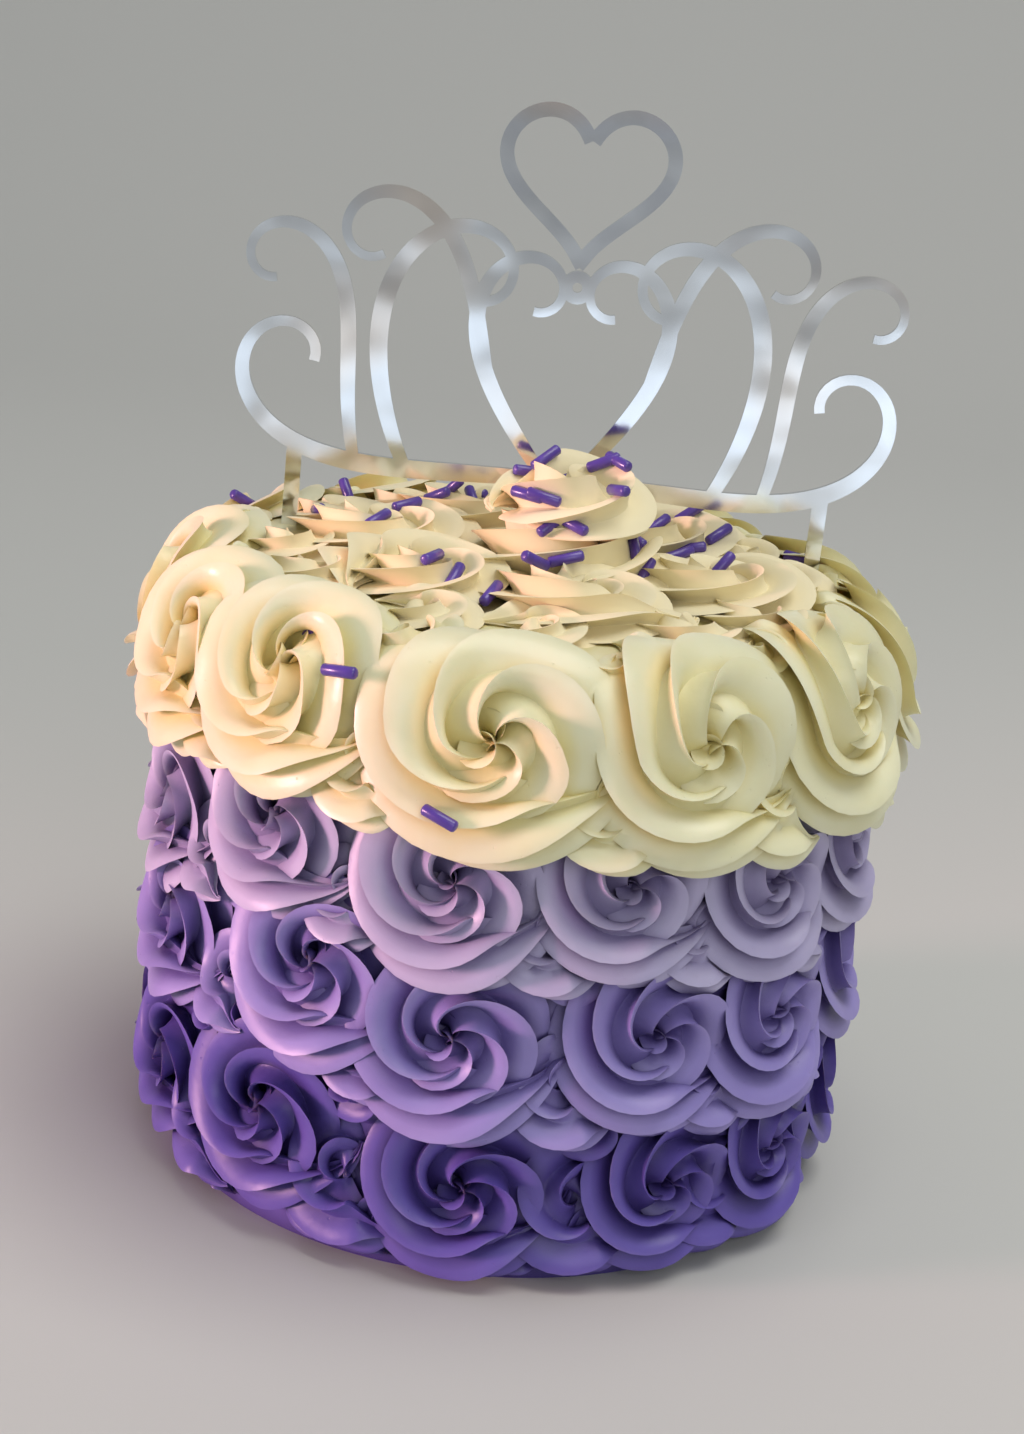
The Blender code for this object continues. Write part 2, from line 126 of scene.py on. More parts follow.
def join(name: str, parts: list[Thing]) -> Thing:
    """Fuse closed shells into one with a Boolean union, remove the parts and merge spare triangles.

    Args:
        name: The name of the fused object.
        parts: Closed objects. The first is the target and the others are the operands.

    Returns:
        One object without modifiers, of MOST_TRIANGLES at most.
    """
    target, *others = parts
    operands = bpy.data.collections.new(name)
    bpy.context.scene.collection.children.link(operands)
    for part in others:
        bpy.context.scene.collection.objects.unlink(part)
        operands.objects.link(part)
    modifier = target.modifiers.new("union", "BOOLEAN")
    modifier.operation = "UNION"
    modifier.solver = "MANIFOLD"
    modifier.operand_type = "COLLECTION"
    modifier.collection = operands
    target.name = name
    keep_modified(target)
    for part in others:
        bpy.data.objects.remove(part, do_unlink=True)
    bpy.data.collections.remove(operands)
    count = triangles(target)
    if count > MOST_TRIANGLES:
        target.modifiers.new("thin", "DECIMATE").ratio = MOST_TRIANGLES / count
        keep_modified(target)
    return target


def add_shell(thing: Thing, shell: Thing) -> None:
    """Add a closed shell's faces to an object's mesh, and remove the shell."""
    shape = bmesh.new()
    shape.from_mesh(thing.data)
    shape.from_mesh(shell.data)
    shape.to_mesh(thing.data)
    shape.free()
    bpy.data.objects.remove(shell, do_unlink=True)


def dress(thing: Thing, fold: float, material: bpy.types.Material) -> None:
    """Shade a mesh smooth, apart from edges that fold more than some degrees, in one material."""
    mesh = thing.data
    mesh.shade_smooth()
    mesh.set_sharp_from_angle(angle=math.radians(fold))
    mesh.materials.clear()
    mesh.materials.append(material)


# Shader tools

@dataclass
class Signal:
    """A socket that carries one number, on which sums lay Math nodes."""

    paint: "Paint"
    socket: bpy.types.NodeSocket

    def _sum(self, operation: str, *terms: "Signal | float") -> "Signal":
        """Lay one Math node on the terms."""
        return self.paint.node("ShaderNodeMath", {"operation": operation}, list(terms))

    def __add__(self, other: "Signal | float") -> "Signal":
        """This and another."""
        return self._sum("ADD", self, other)

    __radd__ = __add__

    def __mul__(self, other: "Signal | float") -> "Signal":
        """This times another."""
        return self._sum("MULTIPLY", self, other)

    __rmul__ = __mul__

    def __sub__(self, other: "Signal | float") -> "Signal":
        """This less another."""
        return self._sum("SUBTRACT", self, other)

    def __rsub__(self, other: float) -> "Signal":
        """Another less this."""
        return self._sum("SUBTRACT", other, self)


@dataclass
class Paint:
    """A material that is being laid out node by node."""

    name: str
    material: bpy.types.Material = field(init=False)

    def __post_init__(self) -> None:
        """Make the material, with its Principled shader as the only one."""
        self.material = bpy.data.materials.new(self.name)
        self.material.use_nodes = True
        self.tree = self.material.node_tree
        self.shader = self.tree.nodes["Principled BSDF"]

    def node(self, kind: str, settings: dict[str, Any], inputs: Any, output: int | str = 0) -> Signal:
        """Lay one node.

        Args:
            kind: The node's type.
            settings: Its properties, or for a ramp its stops as (position, colour) pairs.
            inputs: Values or links of its sockets, as a list or by name.
            output: The socket to carry on from.

        Returns:
            The output socket, wrapped.
        """
        made = self.tree.nodes.new(kind)
        for key, value in settings.items():
            if key == "stops":
                self._stops(made.color_ramp, value)
            else:
                setattr(made, key, value)
        named = enumerate(inputs) if isinstance(inputs, list) else inputs.items()
        for key, value in named:
            self.feed(made.inputs[key], value)
        return Signal(self, made.outputs[output])

    def feed(self, socket: bpy.types.NodeSocket, value: Any) -> None:
        """Set a socket to a value, or link a signal to it."""
        if isinstance(value, Signal):
            self.tree.links.new(value.socket, socket)
        elif isinstance(value, tuple) and len(value) == 3 and socket.type == "RGBA":
            socket.default_value = (*value, 1.0)
        else:
            socket.default_value = value

    def _stops(self, ramp: bpy.types.ColorRamp, stops: Sequence[tuple[float, tuple[float, ...]]]) -> None:
        """Set a ramp's stops."""
        while len(ramp.elements) < len(stops):
            ramp.elements.new(1.0)
        for element, (position, colour) in zip(ramp.elements, stops):
            element.position = position
            element.color = (*colour, 1.0)

    def place(self) -> Signal:
        """The surface's own place, in metres."""
        return self.node("ShaderNodeTexCoord", {}, [], "Object")

    def noise(self, scale: float, detail: float = 2.0, rough: float = 0.5) -> Signal:
        """Soft noise whose grains are about 1/scale across."""
        sockets = {"Vector": self.place(), "Scale": scale, "Detail": detail, "Roughness": rough}
        return self.node("ShaderNodeTexNoise", {}, sockets, "Fac")

    def mix(self, share: "Signal | float", one: Any, other: Any) -> Signal:
        """A colour between two, by share."""
        made = self.tree.nodes.new("ShaderNodeMix")
        made.data_type = "RGBA"
        for key, value in ((0, share), (6, one), (7, other)):
            self.feed(made.inputs[key], value)
        return Signal(self, made.outputs[2])

    def ramp(self, share: Signal, *stops: tuple[float, float]) -> Signal:
        """A number that follows stops of (position, value)."""
        colours = [(position, (value,) * 3) for position, value in stops]
        return self.node("ShaderNodeValToRGB", {"stops": colours}, [share])

    def bump(self, height: Signal, strength: float, distance: float) -> Signal:
        """A normal that a height in 0 to 1 of a distance tips."""
        return self.node("ShaderNodeBump", {}, {"Height": height, "Strength": strength, "Distance": distance})

    def finish(self, **sockets: Any) -> bpy.types.Material:
        """Set the shader's sockets, whose names have _ for spaces, and hand over the material."""
        for key, value in sockets.items():
            self.feed(self.shader.inputs[key.replace("_", " ")], value)
        return self.material


@dataclass(frozen=True)
class Buttercream:
    """Satin buttercream, whipped and piped: tiny air pits, faint drag, a soft inner glow and painted shade in
    its creases.
    """

    slot: str
    light: Triple
    deep: Triple
    # The colour of the painted shade that the ambient occlusion lays in creases.
    painted_shade: Triple
    roughness: float = 0.42
    glow: float = 0.10
    glow_depth: float = 0.003
    glow_colour: Triple = (1.0, 0.75, 0.6)
    painted_shade_reach: float = 0.005
    painted_shade_rays: int = 3
    cloud_scale: float = 55.0
    sheen_scale: float = 90.0
    sheen_change: float = 0.16
    pit_scale: float = 420.0
    pit_patch_scale: float = 130.0
    drag_scale: float = 160.0
    grain_scale: float = 900.0
    relief: float = 0.0006

    def colour(self, paint: Paint) -> Signal:
        """Clouds of the light and the deep colour, with painted shade in the creases where little sky is
        seen.
        """
        cloudy = paint.ramp(paint.noise(self.cloud_scale, detail=3.0), (0.35, 0.0), (0.65, 1.0))
        # Ambient occlusion lays painted shade into the creases between and under the ropes.
        cover = paint.node("ShaderNodeAmbientOcclusion", {"samples": self.painted_shade_rays},
                           {"Distance": self.painted_shade_reach}, "AO")
        painted_shade = paint.ramp(cover, (0.30, 1.0), (0.90, 0.0))
        return paint.mix(painted_shade, paint.mix(cloudy, self.light, self.deep), self.painted_shade)

    def height(self, paint: Paint) -> Signal:
        """Rare patches of pits, plus fine grain and the drag of the nozzle."""
        cells = {"Vector": paint.place(), "Scale": self.pit_scale}
        pits = paint.ramp(paint.node("ShaderNodeTexVoronoi", {}, cells, "Distance"), (0.05, 0.0), (0.13, 1.0))
        pitted = paint.ramp(paint.noise(self.pit_patch_scale, detail=1.0), (0.54, 0.0), (0.62, 1.0))
        skin = paint.node("ShaderNodeMath", {"operation": "MAXIMUM"}, [pits, 1 - pitted])
        return skin * 0.6 + paint.noise(self.grain_scale) * 0.12 + paint.noise(self.drag_scale) * 0.5

    def material(self) -> bpy.types.Material:
        """Lay out the material."""
        paint = Paint(self.slot)
        rough = (paint.noise(self.sheen_scale) - 0.5) * self.sheen_change + self.roughness
        return paint.finish(
            Base_Color=self.colour(paint), Roughness=rough,
            Normal=paint.bump(self.height(paint), 0.35, self.relief),
            Subsurface_Weight=self.glow, Subsurface_Radius=self.glow_colour, Subsurface_Scale=self.glow_depth,
            Specular_IOR_Level=0.5)


class Shade(Enum):
    """The four shades of buttercream, dark at the foot to cream on the top."""

    # The third colour of each shade is its painted shade for the creases.
    INDIGO = Buttercream("indigo_buttercream", (0.147, 0.108, 0.430), (0.118, 0.083, 0.385),
                         (0.030, 0.018, 0.122))
    VIOLET = Buttercream("violet_buttercream", (0.340, 0.288, 0.630), (0.287, 0.237, 0.565),
                         (0.077, 0.053, 0.215))
    LAVENDER = Buttercream("lavender_buttercream", (0.500, 0.460, 0.670), (0.443, 0.402, 0.615),
                           (0.170, 0.136, 0.280))
    CREAM = Buttercream("cream_buttercream", (0.810, 0.788, 0.545), (0.785, 0.750, 0.470),
                        (0.730, 0.635, 0.280), 0.36, 0.15)


@dataclass(frozen=True)
class SugarStrand:
    """Polished dark violet sugar, in patches up to twice as light."""

    colour: Triple = (0.055, 0.028, 0.200)
    patch_scale: float = 300.0
    sheen_scale: float = 400.0
    grain_scale: float = 1500.0
    relief: float = 0.0001

    def material(self) -> bpy.types.Material:
        """Lay out the material."""
        paint = Paint("sprinkles")
        lighter = tuple(2.0 * part for part in self.colour)
        colour = paint.mix(paint.noise(self.patch_scale), self.colour, lighter)
        normal = paint.bump(paint.noise(self.grain_scale), 0.3, self.relief)
        return paint.finish(Base_Color=colour, Roughness=paint.noise(self.sheen_scale) * 0.2 + 0.22,
                            Normal=normal, Coat_Weight=0.3, Coat_Roughness=0.15)


@dataclass(frozen=True)
class MirrorPlate:
    """Silver mirror acrylic, a little wavy, with hazy patches and patches of painted warm reflection in its
    colour.
    """

    silver: Triple = (0.80, 0.83, 0.88)
    painted_warm_reflection: Triple = (0.86, 0.78, 0.72)
    patch_scale: float = 22.0
    haze_scale: float = 60.0
    wave_scale: float = 45.0
    wave_height: float = 0.002

    def material(self) -> bpy.types.Material:
        """Lay out the material."""
        paint = Paint("mirror_plate")
        # Noise patches of painted warm reflection, mixed over the silver.
        patches = paint.ramp(paint.noise(self.patch_scale, detail=1.0), (0.45, 0.0), (0.6, 1.0))
        colour = paint.mix(patches, self.silver, self.painted_warm_reflection)
        waves = paint.bump(paint.noise(self.wave_scale, detail=1.0), 0.25, self.wave_height)
        return paint.finish(Base_Color=colour, Metallic=1.0, Normal=waves,
                            Roughness=paint.noise(self.haze_scale) * 0.16 + 0.04)


@dataclass(frozen=True)
class Crumb:
    """Open chocolate crumb, dull, with pores."""

    light: Triple = (0.085, 0.042, 0.024)
    deep: Triple = (0.030, 0.013, 0.008)
    pore_scale: float = 520.0
    grain_scale: float = 700.0
    dust_scale: float = 200.0
    relief: float = 0.0012

    def material(self) -> bpy.types.Material:
        """Lay out the material."""
        paint = Paint("sponge")
        cells = {"Vector": paint.place(), "Scale": self.pore_scale}
        pores = paint.node("ShaderNodeTexVoronoi", {}, cells, "Distance")
        grain = paint.noise(self.grain_scale, detail=4.0, rough=0.7)
        colour = paint.mix(paint.ramp(pores, (0.1, 1.0), (0.5, 0.0)), self.light, self.deep)
        return paint.finish(Base_Color=colour, Roughness=paint.noise(self.dust_scale) * 0.15 + 0.78,
                            Normal=paint.bump(pores + grain * 0.6, 0.8, self.relief))


# The cake

@dataclass(frozen=True)
class Bed:
    """The skin of buttercream round the sponge, which the rosettes lie on."""

    sponge_radius: float = 0.076
    sponge_height: float = 0.140
    skin: float = 0.003
    gap: float = 0.0003
    rim_growth: float = 0.005
    foot: float = 0.005
    hole: float = 0.0005
    shoulder: float = 0.016
    sides: int = 160
    shoulder_steps: int = 12

    @property
    def side_radius(self) -> float:
        """Radius of the skin on the straight side."""
        return self.sponge_radius + self.skin

    @property
    def rim_radius(self) -> float:
        """Radius of the thicker cream skin under the rim's rosettes."""
        return self.side_radius + self.rim_growth

    @property
    def top(self) -> float:
        """Height of the skin on the top."""
        return self.sponge_height + 2 * self.skin

    @property
    def shoulder_start(self) -> float:
        """Height where the cream skin starts to bend inwards."""
        return self.top - self.shoulder

    def side_placer(self, angle: float, height: float, radius: float) -> Placer:
        """How a rosette lies on the side and over the shoulder.

        A point's height is the rosette's height plus its own upward part. Below the shoulder it stays
        upright. On the shoulder it leans by the arc that it has climbed, divided by the shoulder's radius,
        and past a quarter turn it lies on the flat top. Its sideways part is an arc on the bed there.
        Near the floor the heights are squashed together by an exponential, so nothing sinks below it.

        Args:
            angle: The rosette's angle from the front, in radians.
            height: The height of its middle.
            radius: The radius of the bed that it lies on.

        Returns:
            A function of sideways, upward and outward parts that gives points.
        """
        def place(across: Array, along: Array, out: Array) -> Array:
            climb = height + along
            lean = np.clip((climb - self.shoulder_start) / self.shoulder, 0.0, 0.5 * math.pi)
            flat = np.maximum(climb - self.shoulder_start - 0.5 * math.pi * self.shoulder, 0.0)
            bed = radius - self.shoulder * (1 - np.cos(lean)) - flat
            reach = bed + out * np.cos(lean)
            level = np.minimum(climb, self.shoulder_start) + (self.shoulder + out) * np.sin(lean)
            room = self.foot - self.gap
            squashed = self.gap + room * np.exp(np.minimum(level - self.foot, 0.0) / room)
            return around(angle + across / bed, reach, np.where(level < self.foot, squashed, level))
        return place

    def top_placer(self, x: float, y: float, level: float) -> Placer:
        """How a rosette lies flat on the top: its parts are added to its middle."""
        def place(across: Array, along: Array, out: Array) -> Array:
            return np.stack([x + across, y + along, level + out], axis=-1)
        return place

    def ring(self, name: str, profile: Sequence[tuple[float, float]]) -> Thing:
        """A closed ring: a profile of (radius, height) points carried round the axis."""
        angle = np.linspace(0.0, math.tau, self.sides, endpoint=False)[:, None]
        radius, height = np.array(profile).T
        points = around(angle, radius[None, :], height[None, :])
        count = len(profile)
        turn, step = np.meshgrid(np.arange(self.sides), np.arange(count), indexing="ij")
        beside = (turn + 1) % self.sides
        after = (step + 1) % count
        faces = np.stack([turn * count + step, beside * count + step, beside * count + after,
                          turn * count + after], axis=-1).reshape(-1, 4)
        return mesh_object(name, points, faces)

    def side_skin(self, name: str, bottom: float, top: float) -> Thing:
        """A plain ring of skin between two heights."""
        inner, outer = self.sponge_radius + self.gap, self.side_radius
        return self.ring(name, [(inner, bottom), (outer, bottom), (outer, top), (inner, top)])

    def cream_skin(self, name: str, bottom: float) -> Thing:
        """The cream skin: a ring that flares out, bends over the shoulder and lies on the top."""
        inner, roof = self.sponge_radius + self.gap, self.sponge_height + self.gap
        turn = np.linspace(0.0, 0.5 * math.pi, self.shoulder_steps + 1)
        bend_radius = self.rim_radius - self.shoulder * (1 - np.cos(turn))
        bend_height = self.shoulder_start + self.shoulder * np.sin(turn)
        profile = [(inner, bottom), (self.side_radius, bottom), (self.rim_radius, bottom + self.rim_growth),
                   *zip(bend_radius.tolist(), bend_height.tolist()), (self.hole, self.top), (self.hole, roof),
                   (inner, roof)]
        return self.ring(name, profile)


@dataclass(frozen=True)
class Rope:
    """A rope of buttercream from a star nozzle, laid in a spiral from the middle outwards.

    The radius, relief, lay and root are lengths, and the other reaches and heights are shares of them.
    Angles are in radians, and turns counts whole turns.
    """

    radius: float
    relief: float
    turns: float = 1.5
    tail_turn: float = 0.0
    star_turn: float = 0.0
    ridges: int = 9
    flute: float = 0.60
    twist: float = 0.62
    growth: float = 1.45
    tail_reach: float = 0.34
    ridge_lean: float = 0.15
    rope_share: float = 0.455
    middle_share: float = 0.10
    lip: float = 0.04
    lay: float = 0.0
    tuck: float = 0.0
    root: float = 0.0024
    stretch: float = 1.0
    seed: int = 0
    steps: int = 130
    first_width: float = 0.30
    first_end: float = 0.16
    tail_start: float = 0.84
    tail_bend: float = 1.6
    tail_thinning: float = 0.93
    tail_taper: float = 1.25
    wobble: float = 0.03
    wobble_rate: float = 7.1
    wear: float = 0.035
    wear_rate: float = 11.0
    first_height: float = 0.80
    first_level: float = 0.02
    climb: float = 0.12
    underside: float = 0.35

    def ring_angles(self) -> Array:
        """Angles round the nozzle, crowded at the crests of the star."""
        share = np.array([0.0, 0.07, 0.22, 0.47, 0.76, 1.0])
        half = math.pi / self.ridges
        rise = np.concatenate([share, 2.0 - share[-2:0:-1]]) * half
        return (np.arange(self.ridges)[:, None] * 2 * half + rise[None, :]).ravel()

    def surface(self) -> tuple[Array, Array, Array]:
        """The rope's surface, by share of its length and angle round the nozzle.

        The path's turn grows evenly, and its distance from the middle grows as 1 less the rest to a
        power. The nozzle turns less than the path does: a point at nozzle angle b lies at b less the
        twist times the turn, so each crest slants across the rope. The star's radius is 1 less the
        flute's depth times |sin| of half the number of ridges times b, so flutes are round and crests
        are sharp, but for a small lip. Below, the rope is flatter. Its lower side can be laid over
        the row below, and its upper side tucked under the row above.

        Returns:
            Sideways, upward and outward parts, one row for each step along the rope.
        """
        share = np.linspace(0.0, 1.0, self.steps)[:, None]
        around_nozzle = self.ring_angles()[None, :]
        turn = self.tail_turn + math.tau * (self.turns * (share - 1.0))
        tail = smooth(share, self.tail_start, 1.0)
        start = smooth(share, -0.02, self.first_end)
        rope = self.rope_share * self.radius
        wobble = np.sin(self.wobble_rate * share * self.turns + self.seed) * self.wobble
        grown = self.middle_share + (1 - self.middle_share) * (1 - (1 - share) ** self.growth)
        path = (self.radius - rope) * grown + self.tail_reach * self.radius * tail ** self.tail_bend
        fullness = self.first_width + (1 - self.first_width) * start
        swell = fullness * (1.0 - self.tail_thinning * tail ** self.tail_taper) * (1 + wobble)
        wave = np.cos(around_nozzle * self.ridges / 2 + 0.5 * math.pi)
        valley = np.sqrt(wave ** 2 + self.lip ** 2) - self.lip
        worn = np.sin(around_nozzle * 3.0 + self.wear_rate * share * self.turns + self.seed) * self.wear
        star = 1.0 - self.flute * valley + worn
        crest = (1.0 - np.abs(wave)) ** 2
        twisted = self.star_turn - self.twist * (turn - self.tail_turn)
        beside = around_nozzle + twisted + self.ridge_lean * crest
        side = np.sin(beside)
        up = np.cos(beside)
        rope_height = self.relief * (self.first_height + self.climb * share)
        level = self.relief * (self.first_level + self.climb * share)
        width = rope * swell * star
        out = level + rope_height * swell * star * np.where(up > 0, up, self.underside * up)
        reach = path + width * side
        across = self.stretch * reach * np.cos(turn)
        along = reach * np.sin(turn)
        lifted = self.lay * smooth(-along / self.radius, -0.1, 1.0)
        tucked = 1.0 - self.tuck * smooth(along / self.radius, 0.1, 1.0)
        out = np.maximum(out * tucked + lifted, -self.root)
        return across, along, out

    def solid(self, name: str, place: Placer) -> Thing:
        """The rope as a closed mesh on its bed."""
        points = place(*self.surface())
        rings, sides = points.shape[:2]
        return mesh_object(name, points, tube_faces(rings, sides))


@dataclass(frozen=True)
class Row:
    """A row of rosettes in one shade round the side.

    Angles round the cake are in degrees, and turns of a rope in radians. Dabs and reaches are shares
    of a rosette's radius or relief.
    """

    node: str
    shade: Shade
    count: int
    radius: float
    relief: float
    angles: tuple[float, ...]
    heights: tuple[float, ...]
    bottom: float
    top: float
    lay: float
    uneven_size: float = 0.035
    uneven_height: float = 0.0012
    uneven_step: float = 3.7
    spread: float = 1.11
    low_dab: float = 0.64
    low_relief: float = 0.60
    low_reach: float = 0.45
    low_lift: float = 0.002
    high_dab: float = 0.55
    dab_reach: float = 0.66
    dab_relief: float = 0.50
    front_sizes: tuple[float, ...] = ()
    front_stretches: tuple[float, ...] = ()
    foot_dabs: tuple[float, ...] = ()
    floor_share: float = 1.03
    tail_turn: float = -0.1
    tail_change: float = 0.25
    star_turn: float = 0.15
    star_change: float = 0.35
    turns: float = 1.5
    turns_change: float = 0.08
    tuck: float = 0.3
    dab: Rope = Rope(0.0, 0.0, ridges=6, turns=0.7, steps=50, middle_share=0.45)
    dab_tail: float = 0.4
    dab_sway: float = 2.0
    dab_change: float = 0.1
    dab_room: float = 1.05
    foot_dab: Rope = Rope(0.0, 0.0, ridges=6, turns=0.8, steps=40, middle_share=0.4)
    foot_size: float = 0.40
    foot_relief: float = 0.5
    foot_change: float = 0.15
    foot_room: float = 1.06
    bed: Bed = Bed()

    def skin(self) -> Thing:
        """The skin that the row lies on."""
        return self.bed.side_skin(self.node + "_skin", self.bottom, self.top)

    @property
    def bed_radius(self) -> float:
        """Radius of the skin that the row lies on."""
        return self.bed.side_radius

    def ropes(self) -> list[Thing]:
        """Every rosette of the row: those that face the front one by one, the others evenly behind."""
        first, last = self.angles[0], self.angles[-1]
        hidden = self.count - len(self.angles)
        step = (360 - (last - first)) / (hidden + 1)
        mean = sum(self.heights) / len(self.heights)
        made, spots = [], []
        for index in range(self.count):
            uneven = math.sin(self.uneven_step * index + self.count)
            if index < len(self.angles):
                angle, height = self.angles[index], self.heights[index]
            else:
                angle = last + step * (index - len(self.angles) + 1)
                height = mean + self.uneven_height * uneven
            radius = self.radius * (1 + self.uneven_size * uneven)
            height = max(height, radius * self.floor_share + self.bed.gap)
            place = self.bed.side_placer(math.radians(angle), height, self.bed_radius)
            if index < len(self.front_sizes):
                radius *= self.front_sizes[index]
            stretch = self.front_stretches[index] if index < len(self.front_stretches) else 1.0
            rope = Rope(
                radius * self.spread, self.relief, turns=self.turns + self.turns_change * uneven,
                tail_turn=self.tail_turn + self.tail_change * uneven, lay=self.lay, tuck=self.tuck,
                star_turn=self.star_turn + self.star_change * uneven, stretch=stretch, seed=index)
            made.append(rope.solid(f"{self.node}_{index}", place))
            spots.append((angle, height, radius))
        return made + self.dabs(sorted(spots))

    def dabs(self, spots: list[Triple]) -> list[Thing]:
        """Small dabs that fill the gaps between the rosettes.

        Args:
            spots: Each rosette's angle in degrees, height and radius, in order round the cake.

        Returns:
            Ropes of a short turn: one low and one high in each gap, and those along the foot.
        """
        made = []
        for index, (angle, height, radius) in enumerate(spots):
            after = spots[(index + 1) % len(spots)]
            middle = angle + 0.5 * ((after[0] - angle) % 360)
            for side, share in ((-1, self.low_dab), (1, self.high_dab)):
                size = share * radius * (1 + self.dab_change * math.sin(5.3 * index + side))
                reach = self.dab_reach if side > 0 or self.foot_dabs else self.low_reach
                level = 0.5 * (height + after[1]) + side * reach * radius
                level = max(level, size * self.dab_room + self.bed.gap)
                swayed = math.radians(middle + self.dab_sway * math.sin(4.1 * index))
                place = self.bed.side_placer(swayed, level, self.bed_radius)
                relief = self.relief * (self.dab_relief if side > 0 or self.foot_dabs else self.low_relief)
                rope = replace(self.dab, radius=size, relief=relief, star_turn=index, seed=index,
                               tail_turn=self.dab_tail * math.sin(index) + side,
                               lay=self.lay + self.low_lift if side < 0 else 0.0)
                made.append(rope.solid(f"{self.node}_dab_{index}_{side}", place))
            for shift in self.foot_dabs:
                size = self.foot_size * radius * (1 + self.foot_change * math.sin(7.7 * index + shift))
                level = size * self.foot_room
                place = self.bed.side_placer(math.radians(middle + shift), level, self.bed_radius)
                rope = replace(self.foot_dab, radius=size, relief=self.foot_relief * self.relief,
                               tail_turn=shift, seed=index)
                made.append(rope.solid(f"{self.node}_foot_{index}_{shift:.0f}", place))
        return made

    def build(self) -> Thing:
        """Fuse the row and dress it."""
        piece = join(self.node + "_piping", self.ropes())
        add_shell(piece, self.skin())
        dress(piece, FOLD, self.shade.value.material())
        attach(piece, ROOT)
        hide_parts(self.node)
        return piece


@dataclass(frozen=True)
class RimRow(Row):
    """The cream row, which bends over the shoulder."""

    def skin(self) -> Thing:
        """The cream skin over the side's top and the roof of the sponge."""
        return self.bed.cream_skin(self.node + "_skin", self.bottom)

    @property
    def bed_radius(self) -> float:
        """Radius of the skin that the row lies on."""
        return self.bed.rim_radius


ROWS = (
    Row("icing_indigo", Shade.INDIGO, 12, 0.0235, 0.0102, (-64, -36, -1, 32, 56),
        (0.030, 0.032, 0.025, 0.025, 0.026), 0.0, 0.045, 0.001, low_dab=0.90, dab_relief=0.7,
        front_sizes=(1.0, 1.06, 1.0, 1.0, 1.0), foot_dabs=(-7.0, 5.0)),
    Row("icing_violet", Shade.VIOLET, 12, 0.0245, 0.0102, (-64, -28, -5, 27, 52),
        (0.067, 0.071, 0.061, 0.063, 0.062), 0.0453, 0.080, 0.004),
    Row("icing_lavender", Shade.LAVENDER, 13, 0.0235, 0.0100, (-69, -37, -7, 20, 47),
        (0.093, 0.102, 0.097, 0.099, 0.096), 0.0803, 0.113, 0.004),
    RimRow("icing_cream", Shade.CREAM, 12, 0.0265, 0.0104, (-60, -36, -3, 28, 59),
           (0.134, 0.136, 0.131, 0.132, 0.135), 0.1133, 0.146, 0.004,
           front_sizes=(1.0, 1.0, 0.99, 1.10, 1.06), front_stretches=(1.0, 1.0, 1.16)),
)


@dataclass(frozen=True)
class TopPiping:
    """The rosettes on the top and the high swirl in its middle."""

    spots: tuple[tuple[float, float], ...] = (
        (20, 0.036), (77, 0.043), (137, 0.044), (-160, 0.043), (-104, 0.041), (-43, 0.037))
    radius: float = 0.0235
    relief: float = 0.0098
    spread: float = 1.20
    uneven_size: float = 0.035
    rosette: Rope = Rope(0.0, 0.0, root=0.004)
    mound_at: tuple[float, float] = (0.007, -0.0035)
    mound_foot: Rope = Rope(0.0305, 0.0150, tail_turn=1.0, star_turn=0.3, root=0.004, seed=8)
    mound_peak: Rope = Rope(0.0230, 0.0130, tail_turn=3.6, star_turn=1.0, root=0.009, seed=9, turns=1.9,
                            ridges=6)
    mound_rise: float = 0.0145
    filler: Rope = Rope(0.0, 0.0, ridges=6, turns=0.9, steps=60, middle_share=0.4, root=0.003)
    fill_distance: float = 0.0585
    fill_radius: float = 0.0150
    fill_relief: float = 0.60
    fill_change: float = 0.12
    fill_shares: tuple[float, float] = (0.30, 0.70)
    bed: Bed = Bed()

    def fill(self) -> list[Thing]:
        """Small ropes that cover the skin between the top's rosettes and the rim."""
        made = []
        angles = sorted(angle % 360 for angle, _ in self.spots)
        for index, angle in enumerate(angles):
            gap = (angles[(index + 1) % len(angles)] - angle) % 360
            for share in self.fill_shares:
                middle = math.radians(angle + share * gap)
                size = self.fill_radius * (1 + self.fill_change * math.sin(5.1 * index + 9 * share))
                rope = replace(self.filler, radius=size, relief=self.fill_relief * self.relief,
                               tail_turn=1.7 * index + share, star_turn=index, seed=index)
                centre = around(middle, self.fill_distance, self.bed.top)
                made.append(rope.solid(f"fill_{index}_{share}", self.bed.top_placer(*centre)))
        return made

    def build(self) -> Thing:
        """Fuse the top's rosettes and dress them."""
        parts = []
        for index, (angle, distance) in enumerate(self.spots):
            centre = around(math.radians(angle), distance, self.bed.top)
            radius = self.radius * (1 + self.uneven_size * math.sin(3.7 * index))
            rope = replace(self.rosette, radius=radius * self.spread, relief=self.relief, seed=index,
                           tail_turn=2.1 * index, star_turn=2.4 * index)
            parts.append(rope.solid(f"top_{index}", self.bed.top_placer(*centre)))
        parts += self.fill()
        x, y = self.mound_at
        parts.append(self.mound_foot.solid("mound_foot", self.bed.top_placer(x, y, self.bed.top)))
        level = self.bed.top + self.mound_rise
        parts.append(self.mound_peak.solid("mound_peak", self.bed.top_placer(x, y, level)))
        piece = join("icing_cream_top", parts)
        dress(piece, FOLD, bpy.data.materials[Shade.CREAM.value.slot])
        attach(piece, ROOT)
        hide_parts("icing_cream")
        return piece


